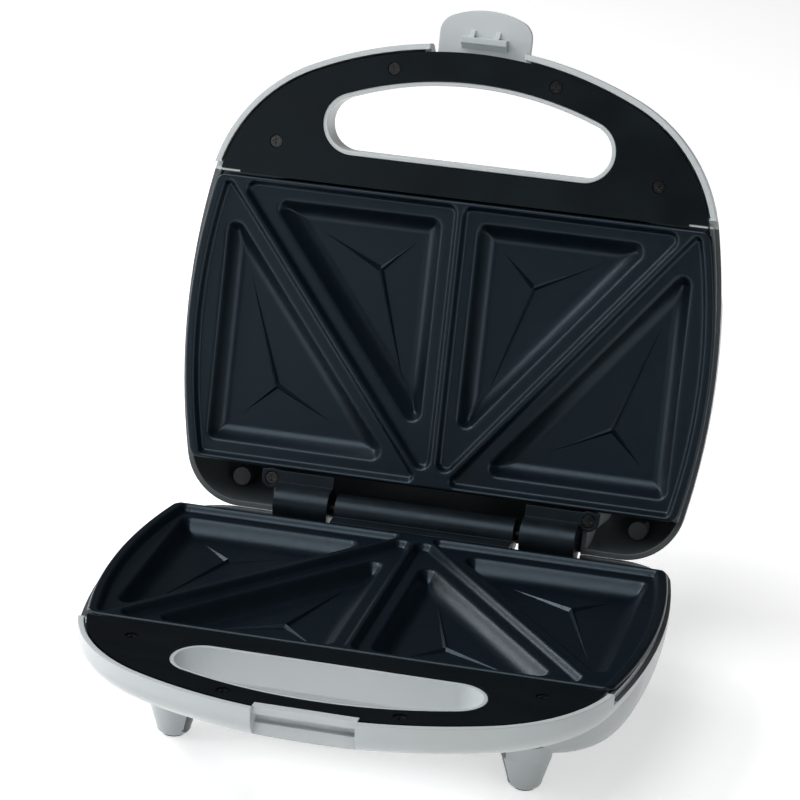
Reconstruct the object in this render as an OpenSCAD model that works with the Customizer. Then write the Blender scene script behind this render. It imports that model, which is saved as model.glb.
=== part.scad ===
/* [Casing] */
// Radius of the bowed casing sides
side_bow_r = 310; // [290:5:340]
// Half width of the casing at its widest
half_w = 116.8; // [115:0.2:119]
// Radius of the long front arc of the handle
front_arc_r = 170; // [160:2:180]
// Radius of the front corners of the handle
front_corner_r = 70; // [66:1:74]
// Radius of the rear corners
rear_corner_r = 26; // [22:1:29]
// Distance from the plate's rear edge to the outside of the rear wall
rear_reach = 19.5; // [18.6:0.1:21]
// Distance from the plate's rear edge to the front of the handle
front_reach = 191.5; // [189:0.5:194]
// Depth of one casing half below the parting plane
shell_depth = 41; // [40:0.5:46]
// Depth of the handle below the parting plane
handle_depth = 14.8; // [14.4:0.1:16]
// Wall thickness of the mouldings
wall = 2.4; // [2:0.1:2.8]
// Height from the table to the parting plane
parting_h = 54.5; // [54:0.5:62]

/* [Plates] */
// Width of a cooking plate across its bowed sides
plate_w = 230.6; // [228:0.2:231]
// Depth of a cooking plate from front to rear
plate_d = 125; // [124:0.5:125.2]
// Radius of the plate's bowed sides
plate_bow_r = 270; // [260:5:300]
// Depth of the flat land below the plate's rim
land_drop = 3.3; // [2.8:0.1:3.6]
// Depth of the pocket floors below the parting plane
pocket_drop = 10; // [9:0.2:10.4]
// Width of the land between a cutting ridge and a pocket
ridge_land = 8.3; // [7.6:0.1:9]
// Gap left between each plate and the parting plane
plate_gap = 0.25; // [0.2:0.05:0.5]

/* [Handle] */
// Thickness of the handle covers
cover_t = 2.5; // [2:0.1:2.7]
// Set-back of the cover's edge from the casing's edge
cover_inset = 3.5; // [3:0.1:4]
// Distance from the plate's rear edge to the straight side of the finger slot
slot_near = 138.5; // [137:0.5:140]
// Width of the handle between the finger slot and the casing's front
grip_w = 16; // [15.5:0.1:17]
// Radius of the finger slot's ends
slot_end_r = 13.8; // [13:0.1:14.4]

/* [Hinge] */
// Angle between the parting planes with the lid wide open
open_angle = 104; // [95:1:105]
// Distance of the hinge pin behind the plates
hinge_back = 14.3; // [13.8:0.1:14.8]
// Radius of the hinge pin
pin_r = 2.5; // [2:0.1:3]
// Radius of the base's long centre knuckle
mid_knuckle_r = 7; // [6:0.1:7.4]
// Radius of the lid's two knuckles
lid_knuckle_r = 8.5; // [7.5:0.1:8.6]
// Half length of the centre knuckle
mid_knuckle_half = 39.5; // [36:0.5:40]
// Nearest end of a lid knuckle from the middle
lid_knuckle_in = 42.5; // [42:0.5:46]
// Length of each lid knuckle
lid_knuckle_l = 24; // [20:0.5:24]
// Radial running clearance of the pins
run_fit = 0.06; // [0.03:0.01:0.1]

/* [Latch] */
// Width of the latch
latch_w = 40.4; // [34:0.2:40.6]
// Length of the latch from its pin to its tip
latch_l = 26.4; // [23:0.2:28]
// Radius of the latch's pin
latch_pin_r = 1.5; // [1.2:0.1:1.7]
// Radius of the catch face about the latch's pin
catch_r = 12.9; // [12.8:0.1:13.2]

/* [Feet] */
// Distance of the feet from the middle
foot_x = 73.5; // [66:0.5:76]
// Distance of the front feet ahead of the origin
foot_y = 58; // [54:0.5:60]
// Radius of a foot at its rounded end
foot_r = 7.2; // [6:0.2:8]
// Radius of a foot where it leaves the casing
foot_top_r = 10.4; // [9.4:0.2:11]

/* [Heating] */
// Radius of the tubular heating elements
heater_r = 3.25; // [2.8:0.05:3.4]
// Thickness of the reflector sheet
sheet_t = 0.8; // [0.6:0.1:1]

/* [Mains inlet] */
// Bore of the cord gland
gland_bore_r = 3.5; // [3:0.1:4]

/* [Hidden] */
$fn = 96;

// colours
casing_c = [0.86, 0.88, 0.89];
black_c = [0.10, 0.11, 0.12];
plate_c = [0.20, 0.24, 0.28];
steel_c = [0.72, 0.73, 0.74];
brass_c = [0.78, 0.66, 0.38];

// Each half is drawn with y = 0 at the plate's rear edge and z = 0 at the parting plane.
eps = 0.01;
far = 400;
// y of the parting frame's origin in the finished part: the feet stand evenly about the origin
plate_back = 54;
hinge_y = hinge_back;

// points that several shapes share are rounded, so that the shapes meet exactly
function snap(p) = [for (v = p) round(v * 1000) / 1000];

// casing outline: front arc, two front corners, two bowed sides, two rear corners and a straight rear
front_c = [0, front_arc_r - front_reach];
side_c = [half_w - side_bow_r, -65];
// a front corner's centre lies where it is tangent to both the front arc and the side
corner_c = tangent_centre(front_c, front_arc_r - front_corner_r, side_c, side_bow_r - front_corner_r);
rear_c = on_side(rear_corner_r, rear_reach - rear_corner_r);

// intersection, on the lower right, of two circles given by centre and radius
function tangent_centre(p, rp, q, rq) =
    let (d = norm(q - p), a = (rp * rp - rq * rq + d * d) / (2 * d), h = sqrt(rp * rp - a * a),
         u = (q - p) / d)
    p + a * u + h * [-u.y, u.x];
// centre, at the given y, of an arc of radius r that is tangent to the bowed side
function on_side(r, y) = [side_c.x + sqrt(pow(side_bow_r - r, 2) - pow(y - side_c.y, 2)), y];

// half width of the casing outline, moved in by i, at a y along its bowed side
function side_x(y, i) = side_c.x + sqrt(pow(side_bow_r - i, 2) - pow(y - side_c.y, 2));

// the bowl under a plate: its own front corners and front line
bowl_front = -128;
bowl_corner_r = 40;
bowl_c = on_side(bowl_corner_r, bowl_front + bowl_corner_r);
// two arcs round the bowl's lower edge: a long one down the side and a short one on to the bottom
bowl_inset = 25;
bowl_top_z = -7;
bottom_r = 20;
bowl_rise = shell_depth + bowl_top_z - bottom_r;
side_r = (bowl_inset * bowl_inset + bowl_rise * bowl_rise - bottom_r * bottom_r)
         / (2 * (bowl_inset - bottom_r));
tray_edge_r = 10;

// levels below the parting plane
rim_z = -0.5;
cover_bottom = rim_z - cover_t;
ledge_z = -5;
band_top = -2.4;
band_inset = 2;
band_t = 1.6;
slab_z = -6;
bowl_shell = 2.5;
step_y = -129.5;
rear_notch_z = -9.2;
notch_half = lid_knuckle_in + lid_knuckle_l + 1;
base_rear_z = -7;
deck_z = -10.6;

// seats: the cover's rear edge reaches over the bowl's front wall
seat_gap = 0.3;
cover_back = -plate_d - 2.2;
tongue_half = side_x(step_y, cover_inset) - 8.3;
post_in = tongue_half + seat_gap;
cover_seat_x = side_x(step_y, cover_inset - 0.5);

// plate
plate_cy = -plate_d / 2;
slab_in = 3.2;
plate_corner_r = 4;
plate_corner_c = [plate_w / 2 - plate_bow_r
    + sqrt(pow(plate_bow_r - plate_corner_r, 2) - pow(plate_d / 2 - plate_corner_r, 2)), -plate_corner_r];
ridge_half = 2.3;
ridge_top_half = 0.8;
ridge_front = [100, -plate_d + 2.6];
ridge_rear = [3.6, -1.6];
side_margin = 102;
rear_margin = 8.7;
front_margin = 9;
divider_margin = 8;
ridge_dir = (ridge_front - ridge_rear) / norm(ridge_front - ridge_rear);

// where a line parallel to the ridge, shifted by d to the outside, meets a given x or y
function ridge_y(x, d) = ridge_rear.y + (x - ridge_rear.x) * ridge_dir.y / ridge_dir.x + d / ridge_dir.x;
function ridge_x(y, d) = ridge_rear.x + (y - ridge_rear.y) * ridge_dir.x / ridge_dir.y - d / ridge_dir.y;
// the two right-hand pockets as sharp triangles: the outer one and the one beside the divider
outer_pocket = [[side_margin, ridge_y(side_margin, ridge_land)], [side_margin, -rear_margin],
                [ridge_x(-rear_margin, ridge_land), -rear_margin]];
inner_pocket = [[ridge_x(-plate_d + front_margin, -ridge_land), -plate_d + front_margin],
                [divider_margin, -plate_d + front_margin],
                [divider_margin, ridge_y(divider_margin, -ridge_land)]];
// junctions and ends of the three-armed creases on the pocket floors
outer_crease = [[74.4, -34.8], [90.3, -19], [44.3, -19.8], [93, -88]];
inner_crease = [[33.7, -91.1], [17.3, -106.5], [64.5, -106], [16, -34]];
crease_root = 1.75;
crease_tip = 0.3;
// studs under the land between the pockets take the reflector's screws
stud_far = ridge_rear + ridge_dir * 120;
stud_near = ridge_rear + ridge_dir * 37;
stud_r = 4.4;
stud_z = -20;

function incircle_r(t) =
    let (a = norm(t[1] - t[2]), b = norm(t[0] - t[2]), c = norm(t[0] - t[1]), s = (a + b + c) / 2)
    sqrt((s - a) * (s - b) * (s - c) / s);
function incentre(t) =
    let (a = norm(t[1] - t[2]), b = norm(t[0] - t[2]), c = norm(t[0] - t[1]))
    (a * t[0] + b * t[1] + c * t[2]) / (a + b + c);
// a triangle moved inwards by d on every side
function inset(t, d) = let (i = incentre(t), k = 1 - d / incircle_r(t)) [for (p = t) i + k * (p - i)];

// finger slot
slot_front_r = front_arc_r - grip_w;
slot_cy = -slot_near - slot_end_r;
slot_c = [sqrt(pow(slot_front_r - slot_end_r, 2) - pow(slot_cy - front_c.y, 2)), slot_cy];
liner_gap = 0.3;
liner_t = 1.8;

// cover screws
cover_screws = [[83.7, -141.1], [35.3, -177.8]];
screw_r = 1.4;
screw_fit = 0.05;
head_r = 2.6;
head_h = 1.6;
boss_r = 3.6;

// hinge
tab_top = -0.5;
tab_t = 2.5;
tab_front = 0.8;
tongue_x = 70.2;
tongue_y = 4.5;
tongue_r = 4.4;
hinge_screw_x = 24;
hinge_screw_y = hinge_y - 1;
hinge_screw_l = 7.2;
rib_t = 2.2;

// latch and keeper
latch_y = -180;
latch_z = -6.3;
latch_hub_r = 2.8;
latch_reach = 8.6;
latch_t = 2.6;
latch_gap = 0.4;
recess_half = latch_w / 2 + latch_gap;
hook_half = 10;
hook_tip = 4.8;
hook_bottom = -14.6;
lip_front = -187.2;
lip_back = -183.8;
lip_z = -4;
keeper_back = -181.6;
keeper_z = -8.8;
keeper_wall = -184;

// feet, stepped back from the parting frame
foot_front_y = -foot_y - plate_back;
foot_rear_y = foot_y - plate_back;
pad_r = 4.6;
pad_t = 1.4;
pad_out = 0.5;
foot_round = 3.2;
foot_bottom = -parting_h + pad_out;

// heater and reflector
heater_z = -pocket_drop - bowl_shell - heater_r;
heater_half_x = 66;
heater_y = [-22, -98];
heater_bend = 16;
// the element's cold ends, and the sleeved leads that start just below them
cold_l = 12;
lead_r = 1.2;
sleeve_r = 1.8;
lead_gap = 0.4;
lead_z = heater_z - cold_l - sleeve_r - lead_gap;
reflector_w = 190;
reflector_d = 102;
reflector_corner = 14;
reflector_y = -63;
flange_h = 5;
plate_screw_r = 1.6;

// mains inlet
gland_x = 78;
gland_z = -24;
gland_r = 6;
gland_flange_r = 8;

/* ---------- placing ---------- */

module in_base() translate([0, plate_back, parting_h]) children();

// the lid is the mirror image of the base, swung open about the hinge pin
module in_lid() in_base() translate([0, hinge_y, 0]) rotate([-open_angle, 0, 0]) translate([0, -hinge_y, 0])
    mirror([0, 0, 1]) children();

// closed lid frame, not mirrored, with the latch's pin at the origin
module in_latch() in_base() translate([0, hinge_y, 0]) rotate([-open_angle, 0, 0])
    translate([0, latch_y - hinge_y, -latch_z]) rotate([-90, 0, 0]) children();

module both_sides() {
    children();
    mirror([1, 0, 0]) children();
}

/* ---------- outlines ---------- */

// Every outline is made of sectors that meet edge to edge. Neighbours share the same seam points.

function angle_of(v) = atan2(v.y, v.x);
function mirrored(p) = [-p.x, p.y];
// a point well outside the casing, on the line from p through q
function beyond(p, q) = snap(q + 120 * (q - p) / norm(q - p));

seam_front = beyond(front_c, corner_c);
seam_side = beyond(side_c, corner_c);
seam_bowl = beyond(side_c, bowl_c);
seam_rear = beyond(side_c, rear_c);
up = [0, 120];

// at a point, given as a rounded one and what is left of it, which keeps its last digits
module place(c) translate(snap(c)) translate(c - snap(c)) children();

// the part of a circle that lies in a polygon
module arc_part(c, r, points) intersection() {
    place(c) circle(r);
    polygon(points);
}

// a straight-sided core: the right-hand points and their mirror images
module core(points) polygon([for (p = points) p, for (k = [len(points) - 1:-1:0]) mirrored(points[k])]);

// casing outline moved in by i
module casing_outline(i) {
    core([corner_c, rear_c, rear_c + [0, rear_corner_r - i]]);
    arc_part(front_c, front_arc_r - i, front_zone);
    both_sides() {
        arc_part(corner_c, front_corner_r - i, [corner_c, seam_front, seam_side]);
        arc_part(side_c, side_bow_r - i, [corner_c, seam_side, seam_rear, rear_c]);
        arc_part(rear_c, rear_corner_r - i, [rear_c, seam_rear, rear_c + up]);
    }
}
front_zone = [corner_c, seam_front, mirrored(seam_front), mirrored(corner_c)];

// the bowl's outline moved in by i
module bowl_outline(i) {
    core([bowl_c - [0, bowl_corner_r - i], bowl_c, rear_c, rear_c + [0, rear_corner_r - i]]);
    both_sides() {
        arc_part(rear_c, rear_corner_r - i, [rear_c, seam_rear, rear_c + up]);
        arc_part(side_c, side_bow_r - i, [bowl_c, seam_bowl, seam_rear, rear_c]);
        arc_part(bowl_c, bowl_corner_r - i, [bowl_c, seam_bowl, bowl_c - up]);
    }
}

// the handle's outline moved in by i, open towards the bowl
module tray_outline(i) {
    core([corner_c, bowl_c]);
    arc_part(front_c, front_arc_r - i, front_zone);
    both_sides() {
        arc_part(corner_c, front_corner_r - i, [corner_c, seam_front, seam_side]);
        arc_part(side_c, side_bow_r - i, [corner_c, seam_side, seam_bowl, bowl_c]);
    }
}

module band_cut(y0, y1) translate([-far / 2, y0]) square([far, y1 - y0]);

// finger slot moved in by i: a straight side towards the plate and a bowed side towards the front
module slot_outline(i) {
    seam = beyond(front_c, slot_c);
    core([slot_c, slot_c + [0, slot_end_r - i]]);
    arc_part(front_c, slot_front_r - i, [slot_c, seam, mirrored(seam), mirrored(slot_c)]);
    both_sides() arc_part(slot_c, slot_end_r - i, [slot_c, seam, slot_c + up]);
}

// plate outline moved in by i: bowed sides, straight front and rear, small round corners
module plate_outline(i) {
    c = plate_corner_c;
    d = [c.x, -plate_d - c.y];
    b = [plate_w / 2 - plate_bow_r, plate_cy];
    seam_c = beyond(b, c);
    seam_d = beyond(b, d);
    r = plate_corner_r - i;
    core([d - [0, r], d, c, c + [0, r]]);
    both_sides() {
        arc_part(b, plate_bow_r - i, [d, seam_d, seam_c, c]);
        arc_part(c, r, [c, seam_c, c + up]);
        arc_part(d, r, [d, d - up, seam_d]);
    }
}

// the land inside the plate's rim, with sharp corners
module land_outline(side_rim, end_rim) intersection() {
    both_ways() translate([plate_w / 2 - plate_bow_r, plate_cy]) circle(plate_bow_r - side_rim);
    translate([-far / 2, end_rim - plate_d]) square([far, plate_d - 2 * end_rim]);
}
module both_ways() intersection() {
    children();
    mirror([1, 0, 0]) children();
}

module rounded_rect(w, d, r) {
    square([w - 2 * r, d], center = true);
    square([w, d - 2 * r], center = true);
    for (x = [-1, 1], y = [-1, 1]) translate([x * (w / 2 - r), y * (d / 2 - r)]) circle(r);
}

/* ---------- swept shapes ---------- */

// children(): a profile that reaches from the outline at x = 0 inwards, swept round c within a polygon
module sweep_arc(c, r, points) intersection() {
    place(c) rotate_extrude($fn = 240) translate([r, 0]) children();
    translate([0, 0, -shell_depth - 1]) linear_extrude(shell_depth + 2) polygon(points);
}

// the same along the straight edge at y, from one arc's centre to its mirror image
module sweep_line(c, y, turn, outwards) intersection() {
    translate([0, y, 0]) rotate([0, 0, turn]) rotate([90, 0, 0]) translate([0, 0, -far / 2])
        linear_extrude(far) children();
    translate([0, 0, -shell_depth - 1]) linear_extrude(shell_depth + 2)
        polygon([mirrored(c), c, c + outwards, mirrored(c + outwards)]);
}

// the bowl's edge, moved in by i: upright, then a long arc, then a short arc on to the bottom
module bowl_profile(i) {
    a = [-side_r, bowl_top_z];
    b = [-bowl_inset, bottom_r - shell_depth];
    seam = snap(a + 4 * (b - a));
    translate([-bowl_inset, bowl_top_z]) square([bowl_inset - i, -bowl_top_z]);
    arc_part(a, side_r - i, [[-bowl_inset, bowl_top_z], [10, bowl_top_z], seam, b]);
    arc_part(b, bottom_r - i, [b, seam, b - [0, 60]]);
}

module bowl(i) {
    both_sides() {
        sweep_arc(rear_c, rear_corner_r, [rear_c, seam_rear, rear_c + up]) bowl_profile(i);
        sweep_arc(side_c, side_bow_r, [bowl_c, seam_bowl, seam_rear, rear_c]) bowl_profile(i);
        sweep_arc(bowl_c, bowl_corner_r, [bowl_c, seam_bowl, bowl_c - up]) bowl_profile(i);
    }
    sweep_line(rear_c, rear_reach, 90, up) bowl_profile(i);
    sweep_line(bowl_c, bowl_front, -90, -up) bowl_profile(i);
    translate([0, 0, -shell_depth + i]) linear_extrude(shell_depth - i) bowl_outline(bowl_inset);
}

// the handle's edge, moved in by i: upright, then a quarter round on to the underside
module tray_profile(i) {
    c = [-tray_edge_r, tray_edge_r - handle_depth];
    translate(c) square([tray_edge_r - i, -c.y]);
    arc_part(c, tray_edge_r - i, [c, c + [20, 0], c + [20, -20], c - [0, 20]]);
}

module tray(i) {
    sweep_arc(front_c, front_arc_r, front_zone) tray_profile(i);
    both_sides() {
        sweep_arc(corner_c, front_corner_r, [corner_c, seam_front, seam_side]) tray_profile(i);
        sweep_arc(side_c, side_bow_r, [corner_c, seam_side, seam_bowl, bowl_c]) tray_profile(i);
    }
    translate([0, 0, -handle_depth + i]) linear_extrude(handle_depth - i) tray_outline(tray_edge_r);
}

/* ---------- casing halves ---------- */

module slab(z0, z1) translate([-far / 2, -far / 2, z0]) cube([far, far, z1 - z0]);
module block(x0, x1, y0, y1, z0, z1) translate([x0, y0, z0]) cube([x1 - x0, y1 - y0, z1 - z0]);

// outer shape of a half with its stepped rim
module half_solid() difference() {
    union() {
        bowl(0);
        tray(0);
    }
    slab(rim_z, 1);
    translate([-far / 2, step_y, ledge_z]) cube([far, far, far]);
}

module half_cavity() {
    bowl(wall);
    // the handle is hollow ahead of the bowl's front wall
    difference() {
        tray(wall);
        block(-far / 2, far / 2, bowl_front - wall, far / 2, -far / 2, far / 2);
    }
}

// the moulding that both halves share
module casing() difference() {
    union() {
        difference() {
            half_solid();
            half_cavity();
        }
        // upper band that carries the plate's edge
        intersection() {
            translate([0, 0, ledge_z - 2]) linear_extrude(band_top - ledge_z + 2) difference() {
                casing_outline(band_inset);
                casing_outline(band_inset + band_t);
            }
            block(-far / 2, far / 2, cover_back + seat_gap, 0, -shell_depth, 0);
        }
        // small posts between the cover and the plate at the front corners
        both_sides() block(post_in, side_x(step_y, cover_inset), cover_back + 0.2, cover_back + 1.1, ledge_z - 1, -1);
        // rear bulkhead under the plate's edge
        intersection() {
            block(-far / 2, far / 2, -3.9, -1.5, -shell_depth + wall / 2, slab_z);
            bowl(wall / 2);
        }
        // liner of the finger slot
        translate([0, 0, -handle_depth]) linear_extrude(handle_depth - 1) difference() {
            slot_outline(liner_gap);
            slot_outline(liner_gap + liner_t);
        }
        // bosses for the cover's screws
        both_sides() for (p = cover_screws)
            translate([p.x, p.y, -handle_depth + wall / 2])
                cylinder(r = boss_r, h = handle_depth - wall / 2 + cover_bottom);
    }
    // seats of the cover's rear edge and of the plate's underside
    block(-cover_seat_x, cover_seat_x, bowl_front - wall - 1, step_y + 1, cover_bottom, 1);
    translate([0, 0, slab_z - seat_gap]) linear_extrude(far) plate_outline(slab_in - seat_gap);
    translate([0, 0, -handle_depth - 5]) linear_extrude(handle_depth + 6) slot_outline(liner_gap + liner_t);
    both_sides() for (p = cover_screws)
        translate([p.x, p.y, -handle_depth + wall]) cylinder(r = screw_r + screw_fit, h = handle_depth);
    // room for the knuckles at the rear
    block(-notch_half, notch_half, rear_reach - wall - 1, rear_reach + 1, rear_notch_z, 1);
}

module foot(y) translate([foot_x, y, 0]) rotate_extrude() {
    translate([0, foot_bottom]) square([foot_r - foot_round, foot_round + eps]);
    translate([foot_r - foot_round, foot_bottom + foot_round]) circle(foot_round);
    polygon([[0, foot_bottom + foot_round], [foot_r, foot_bottom + foot_round],
             [foot_top_r, -shell_depth + 1], [foot_top_r, -shell_depth + 8], [0, -shell_depth + 8]]);
}

module base_shell() color(casing_c) in_base() difference() {
    union() {
        casing();
        // feet, cut off flush inside
        both_sides() difference() {
            union() {
                foot(foot_front_y);
                foot(foot_rear_y);
            }
            bowl(wall / 2);
        }
        // deck behind the plate, which carries the hinge bracket
        intersection() {
            block(-far / 2, far / 2, -2, rear_reach, deck_z - wall, deck_z);
            bowl(wall / 2);
        }
        // keeper block behind the lip
        intersection() {
            union() {
                block(-recess_half - wall, recess_half + wall, lip_back - 6, lip_back + 6,
                      -handle_depth, cover_bottom);
                block(-recess_half - seat_gap, recess_half + seat_gap, lip_back - 6, lip_back,
                      -handle_depth, rim_z);
            }
            translate([0, 0, -20]) linear_extrude(20) casing_outline(0.5);
            tray(0);
            translate([0, 0, -20]) linear_extrude(20) band_cut(-far, -slot_near - 38.2);
        }
        // collar round the cord gland
        translate([gland_x, rear_reach - 5, gland_z]) rotate([-90, 0, 0]) cylinder(r = gland_r + 2, h = 3);
    }
    // lower rear wall, clear of the lid when it stands open
    translate([-far / 2, 10, base_rear_z]) cube([far, far, far]);
    // keeper recess: lip, catch slot and set-back wall
    block(-recess_half, recess_half, -far, lip_front, -far / 2, 1);
    block(-recess_half, recess_half, -far, keeper_wall, -far / 2, lip_z);
    block(-recess_half, recess_half, -far, keeper_back, keeper_z, lip_z);
    for (s = [-1, 1]) translate([s * hinge_screw_x, hinge_screw_y, deck_z - wall - 1])
        cylinder(r = screw_r + 0.3, h = wall + 2);
    // pads sit in the feet
    both_sides() for (y = [foot_front_y, foot_rear_y])
        translate([foot_x, y, foot_bottom - 1]) cylinder(r = pad_r, h = 1 + pad_t - pad_out);
    translate([gland_x, rear_reach - 12, gland_z]) rotate([-90, 0, 0]) cylinder(r = gland_r, h = 20);
    // vents in the bottom
    for (k = [-3:3]) block(12 * k - 1.6, 12 * k + 1.6, -78, -48, -shell_depth - 1, -shell_depth + wall + 1);
}

module lid_shell() color(casing_c) in_lid() difference() {
    union() {
        casing();
        // screw posts of the hinges, ribs beside the knuckles and round posts in the rear corners
        both_sides() {
            intersection() {
                translate([tongue_x, tongue_y, -shell_depth]) cylinder(r = tongue_r, h = shell_depth + tab_top - tab_t);
                bowl(wall / 2);
            }
            intersection() {
                block(notch_half, notch_half + rib_t, 8, rear_reach, -shell_depth, ledge_z);
                bowl(wall / 2);
            }
            intersection() {
                translate([88.8, 8.6, -shell_depth]) cylinder(r = 4, h = shell_depth - 21);
                bowl(wall / 2);
            }
        }
        // walls round the latch's recess
        intersection() {
            difference() {
                block(-recess_half - wall, recess_half + wall, -far, -173.6, -handle_depth, cover_bottom);
                slab(-far, -far / 2);
            }
            tray(0);
            translate([0, 0, -20]) linear_extrude(20) band_cut(-far, -slot_near - grip_w - 18.8);
        }
    }
    block(-recess_half, recess_half, -far, latch_y + latch_hub_r + 0.3, -far / 2, 1);
    translate([-recess_half - wall, latch_y, latch_z]) rotate([0, 90, 0])
        cylinder(r = latch_pin_r, h = 2 * (recess_half + wall));
    both_sides() translate([tongue_x, tongue_y, -16]) cylinder(r = screw_r + screw_fit, h = 20);
    for (s = [-1, 1]) translate([s * lens_x, lens_y, -shell_depth - 1]) cylinder(r = lens_r, h = 10);
}

/* ---------- handle covers ---------- */

module cover_plate() difference() {
    union() {
        translate([0, 0, cover_bottom]) linear_extrude(cover_t) difference() {
            intersection() {
                casing_outline(cover_inset);
                union() {
                    band_cut(-far, cover_back);
                    translate([-tongue_half, cover_back - 1]) square([2 * tongue_half, 2.2]);
                }
            }
            slot_outline(0);
        }
    }
    both_sides() for (p = cover_screws) translate([p.x, p.y, cover_bottom]) {
        translate([0, 0, cover_t - head_h - 0.2]) cylinder(r = head_r + 0.3, h = 5);
        translate([0, 0, -1]) cylinder(r = screw_r + 0.2, h = 5);
    }
}

module base_handle_cover() color(black_c) in_base() difference() {
    cover_plate();
    block(-recess_half - 0.6, recess_half + 0.6, -far, lip_back + 0.3, -far / 2, 1);
}
module lid_handle_cover() color(black_c) in_lid() cover_plate();

/* ---------- cooking plates ---------- */

module ridge(a, b) translate([a.x, a.y, -land_drop]) rotate([0, 0, angle_of(b - a)]) rotate([90, 0, 90])
    linear_extrude(norm(b - a)) polygon([[-ridge_half, -0.5], [-ridge_half, 0],
        [-ridge_top_half, land_drop - plate_gap], [ridge_top_half, land_drop - plate_gap],
        [ridge_half, 0], [ridge_half, -0.5]]);

module pocket(t) hull() {
    for (p = inset(t, 4)) translate([p.x, p.y, -land_drop]) cylinder(r = 4, h = 1, $fn = 32);
    for (p = inset(t, 9.5)) translate([p.x, p.y, -pocket_drop]) cylinder(r = 3, h = 0.1, $fn = 32);
}

// underside of a pocket: a block a wall's thickness outside it
module pocket_back(t) translate([0, 0, -pocket_drop - bowl_shell])
    linear_extrude(pocket_drop + bowl_shell + slab_z + eps) polygon(inset(t, 0.6));

// a three-armed crease: each arm tapers from the junction to its end
module crease(c) {
    turn = [for (k = [1:3]) angle_of(c[k] - c[0])];
    translate([0, 0, -pocket_drop - 1]) linear_extrude(2.2) polygon([for (k = [0:2])
        let (side = crease_tip * [-sin(turn[k]), cos(turn[k])],
             next = turn[(k + 1) % 3] + (turn[(k + 1) % 3] < turn[k] ? 360 : 0),
             middle = (turn[k] + next) / 2)
        for (p = [c[k + 1] - side, c[k + 1] + side, c[0] + crease_root * [cos(middle), sin(middle)]]) snap(p)]);
}

module plate() {
    difference() {
        union() {
            translate([0, 0, band_top]) linear_extrude(-band_top - plate_gap) plate_outline(0);
            translate([0, 0, slab_z]) linear_extrude(band_top - slab_z + eps) plate_outline(slab_in);
            both_sides() {
                pocket_back(outer_pocket);
                pocket_back(inner_pocket);
            }
            // front flange under the cover and rear lugs under the hinge tabs
            block(-88, 88, -plate_d - 2.6, -plate_d + 4, ledge_z, cover_bottom - 0.2);
            both_sides() for (x = [20, 52]) block(x - 5, x + 5, -4, 4.6, -5.5, tab_top - tab_t - 0.3);
            both_sides() for (p = [stud_far, stud_near])
                translate([p.x, p.y, stud_z]) cylinder(r = stud_r, h = -stud_z + slab_z + eps);
        }
        translate([0, 0, -land_drop]) linear_extrude(5) land_outline(5.4, 3);
        both_sides() {
            pocket(outer_pocket);
            pocket(inner_pocket);
        }
        both_sides() for (p = [stud_far, stud_near])
            translate([p.x, p.y, stud_z - 1]) cylinder(r = plate_screw_r + screw_fit, h = 13);
    }
    both_sides() {
        ridge(ridge_rear, ridge_front);
        crease(outer_crease);
        crease(inner_crease);
    }
    ridge([0, -1.6], [0, -plate_d + 1.6]);
}

module base_plate() color(plate_c) in_base() plate();
module lid_plate() color(plate_c) in_lid() plate();

/* ---------- heating ---------- */

module rod(x0, y0, x1, y1) translate([x0, y0, heater_z])
    rotate([0, 0, atan2(y1 - y0, x1 - x0)]) rotate([0, 90, 0])
        cylinder(r = heater_r, h = norm([x1 - x0, y1 - y0]));

module bend(x, y, from) translate([x, y, heater_z]) rotate([0, 0, from])
    rotate_extrude(angle = 90) translate([heater_bend, 0]) circle(heater_r);

// one loop under the pockets, with both cold ends at the rear turning down
module heater() {
    xr = heater_half_x - heater_bend;
    both_sides() {
        bend(xr, heater_y[0] - heater_bend, 0);
        bend(xr, heater_y[1] + heater_bend, -90);
        rod(heater_half_x, heater_y[0] - heater_bend, heater_half_x, heater_y[1] + heater_bend);
        rod(12, heater_y[0], xr, heater_y[0]);
        translate([12, heater_y[0], heater_z]) sphere(heater_r);
        translate([12, heater_y[0], heater_z - cold_l]) cylinder(r = 1.5, h = cold_l);
    }
    rod(-xr, heater_y[1], xr, heater_y[1]);
}

module base_heater() color(steel_c) in_base() heater();
module lid_heater() color(steel_c) in_lid() heater();

module reflector() translate([0, reflector_y, 0]) difference() {
    translate([0, 0, stud_z - sheet_t]) linear_extrude(flange_h + sheet_t)
        rounded_rect(reflector_w, reflector_d, reflector_corner);
    translate([0, 0, stud_z]) linear_extrude(flange_h + 1)
        rounded_rect(reflector_w - 2 * sheet_t, reflector_d - 2 * sheet_t, reflector_corner - sheet_t);
    translate([0, -reflector_y, stud_z - 3]) both_sides() for (p = [stud_far, stud_near])
        translate([p.x, p.y, 0]) cylinder(r = plate_screw_r + 0.3, h = 10);
    // the element's cold ends pass through
    for (s = [-1, 1]) translate([s * 12, heater_y[0] - reflector_y, stud_z - 3]) cylinder(r = 3, h = 10);
}

module base_reflector() color(steel_c) in_base() reflector();
module lid_reflector() color(steel_c) in_lid() reflector();

/* ---------- screws ---------- */

// pan-head screw pointing down from z = 0, the underside of its head
module screw(r, length, head, height) difference() {
    union() {
        translate([0, 0, -length]) cylinder(r = r, h = length + eps);
        cylinder(r = head, h = height);
    }
    for (a = [0, 90]) rotate([0, 0, a]) translate([-head * 0.6, -0.4, height - 0.8]) cube([head * 1.2, 0.8, 2]);
}

module cover_screw_set() both_sides() for (p = cover_screws)
    translate([p.x, p.y, cover_bottom + cover_t - head_h - 0.2]) screw(screw_r, 8, head_r, head_h - 0.2);

module plate_screw_set() both_sides() for (p = [stud_far, stud_near])
    translate([p.x, p.y, stud_z - sheet_t]) mirror([0, 0, 1]) screw(plate_screw_r, 9, 3.4, 2);

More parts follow.
